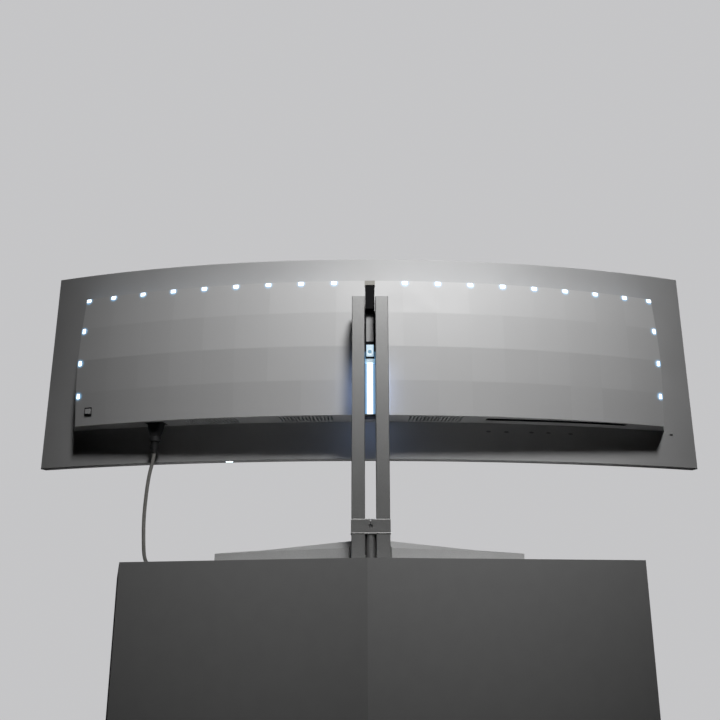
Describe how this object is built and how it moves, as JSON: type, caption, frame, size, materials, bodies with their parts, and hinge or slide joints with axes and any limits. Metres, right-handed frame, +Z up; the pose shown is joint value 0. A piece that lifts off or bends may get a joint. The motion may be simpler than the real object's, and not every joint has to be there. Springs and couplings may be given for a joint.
{
  "type": "curved monitor with rear light bar",
  "caption": "Very wide curved desktop monitor on a twin-blade stand, with a vertical light bar and edge lights on its faceted rear housing; height, tilt and swivel.",
  "frame": {"origin": "on the desk plane, on the column's swivel axis, under the middle rubber pad", "axes": "+Z up, -Y out of the screen towards the viewer, +Y out of the rear housing; +X is to the left of a person who looks at the rear housing"},
  "size_m": [1.1908, 0.2525, 0.5431],
  "materials": {
    "cover_plastic": "fine matt moulded texture",
    "housing_plastic": "fine matt moulded facets",
    "blade_metal": "sand-textured metallic coat",
    "foot_metal": "sand-textured metallic coat",
    "black_plastic": "satin black",
    "black_metal": "satin black",
    "cap_grey": "satin pale grey",
    "hinge_metal": "grey powder coat",
    "steel": "plain steel",
    "chassis_steel": "zinc plated",
    "screen": "anti-glare coated panel",
    "edge_light": "lit clear light pipe",
    "bar_core": "lit opal diffuser",
    "bar_glass": "lit pale blue acrylic",
    "circuit": "solder-masked board",
    "led": "LED package",
    "port_metal": "plated socket shell",
    "cord_rubber": "matt moulded PVC",
    "rubber": "soft rubber",
    "pad_plastic": "natural acetal",
    "status_light": "lit light pipe"
  },
  "bodies": {
    "foot": {"base_foot": "foot_metal", "swivel_bearing": "pad_plastic", "rubber_feet": "rubber"},
    "column": {"column_block": "blade_metal", "swivel_spindle": "steel", "collar": "blade_metal", "collar_screw": "steel", "blade_screws": "steel", "left_blade": "blade_metal", "right_blade": "blade_metal", "blade_caps": "blade_metal", "spring_axles": "steel", "spring_tapes": "steel"},
    "left_spring": {"left_spring": "steel"},
    "right_spring": {"right_spring": "steel"},
    "slide": {"slide_frame": "black_metal", "slide_cap": "cap_grey", "slide_pads": "pad_plastic", "hinge_ears": "hinge_metal", "tilt_shaft": "steel", "friction_washers": "steel"},
    "head": {"audio_socket": "black_plastic", "bezel_frame": "black_plastic", "board_shield": "chassis_steel", "board_standoffs": "steel", "display_panel": "screen", "display_sockets": "port_metal", "edge_light_lenses": "edge_light", "edge_light_strips": "circuit", "head_bracket": "hinge_metal", "housing_screws": "steel", "joystick_bezel": "black_plastic", "joystick_switch": "black_plastic", "light_bar_board": "circuit", "light_bar_channel": "black_metal", "light_bar_diffuser": "bar_core", "light_bar_end_caps": "black_plastic", "light_bar_leds": "led", "light_bar_side_glasses": "bar_glass", "light_bar_top_lens": "bar_glass", "loudspeakers": "black_plastic", "main_board": "circuit", "mount_screws": "steel", "port_board": "circuit", "port_tray": "black_plastic", "power_board": "circuit", "power_cord": "cord_rubber", "power_inlet": "black_plastic", "power_plug": "cord_rubber", "rear_cover": "cover_plastic", "rear_housing": "housing_plastic", "security_plate": "steel", "status_light_pipe": "status_light", "steel_chassis": "chassis_steel", "usb_sockets": "port_metal"},
    "joystick_gimbal": {"joystick_gimbal": "black_plastic"},
    "joystick_stick": {"joystick_stick": "steel"},
    "joystick_knob": {"joystick_knob": "housing_plastic"}
  },
  "joints": [
    {"name": "swivel", "type": "hinge", "parent": "foot", "child": "column", "pos_m": [0, 0, 0.02], "axis": [0, 0, 1], "range_deg": [-20, 20]},
    {"name": "height", "type": "slide", "parent": "column", "child": "slide", "axis": [0, 0, 1], "range_m": [-0.13, 0], "deforming": ["spring_tapes", "power_cord"]},
    {"name": "tilt", "type": "hinge", "parent": "slide", "child": "head", "pos_m": [0, -0.027, 0.39], "axis": [-1, 0, 0], "range_deg": [-3, 13]},
    {"name": "left_spring_spin", "type": "hinge", "parent": "column", "child": "left_spring", "pos_m": [0.01925, 0.008, 0.405], "axis": [1, 0, 0], "range_deg": [0, 762]},
    {"name": "right_spring_spin", "type": "hinge", "parent": "column", "child": "right_spring", "pos_m": [-0.01925, 0.008, 0.405], "axis": [1, 0, 0], "range_deg": [0, 762]},
    {"name": "joystick_sideways", "type": "hinge", "parent": "head", "child": "joystick_gimbal", "pos_m": [0.49085, -0.13441, 0.2647], "axis": [0, 0, 1], "range_deg": [-3, 3], "stiffness_Nm_per_rad": 0.02},
    {"name": "joystick_updown", "type": "hinge", "parent": "joystick_gimbal", "child": "joystick_stick", "pos_m": [0.49085, -0.13441, 0.2647], "axis": [0.9451, -0.3268, 0], "range_deg": [-3, 3], "stiffness_Nm_per_rad": 0.02},
    {"name": "joystick_press", "type": "slide", "parent": "joystick_stick", "child": "joystick_knob", "axis": [-0.3268, -0.9451, 0], "range_m": [0, 0.0006], "stiffness_N_per_m": 900}
  ],
  "couplings": [
    {"joint": "left_spring_spin", "follows": "height", "rad_per_m": -102.04},
    {"joint": "right_spring_spin", "follows": "height", "rad_per_m": -102.04}
  ]
}
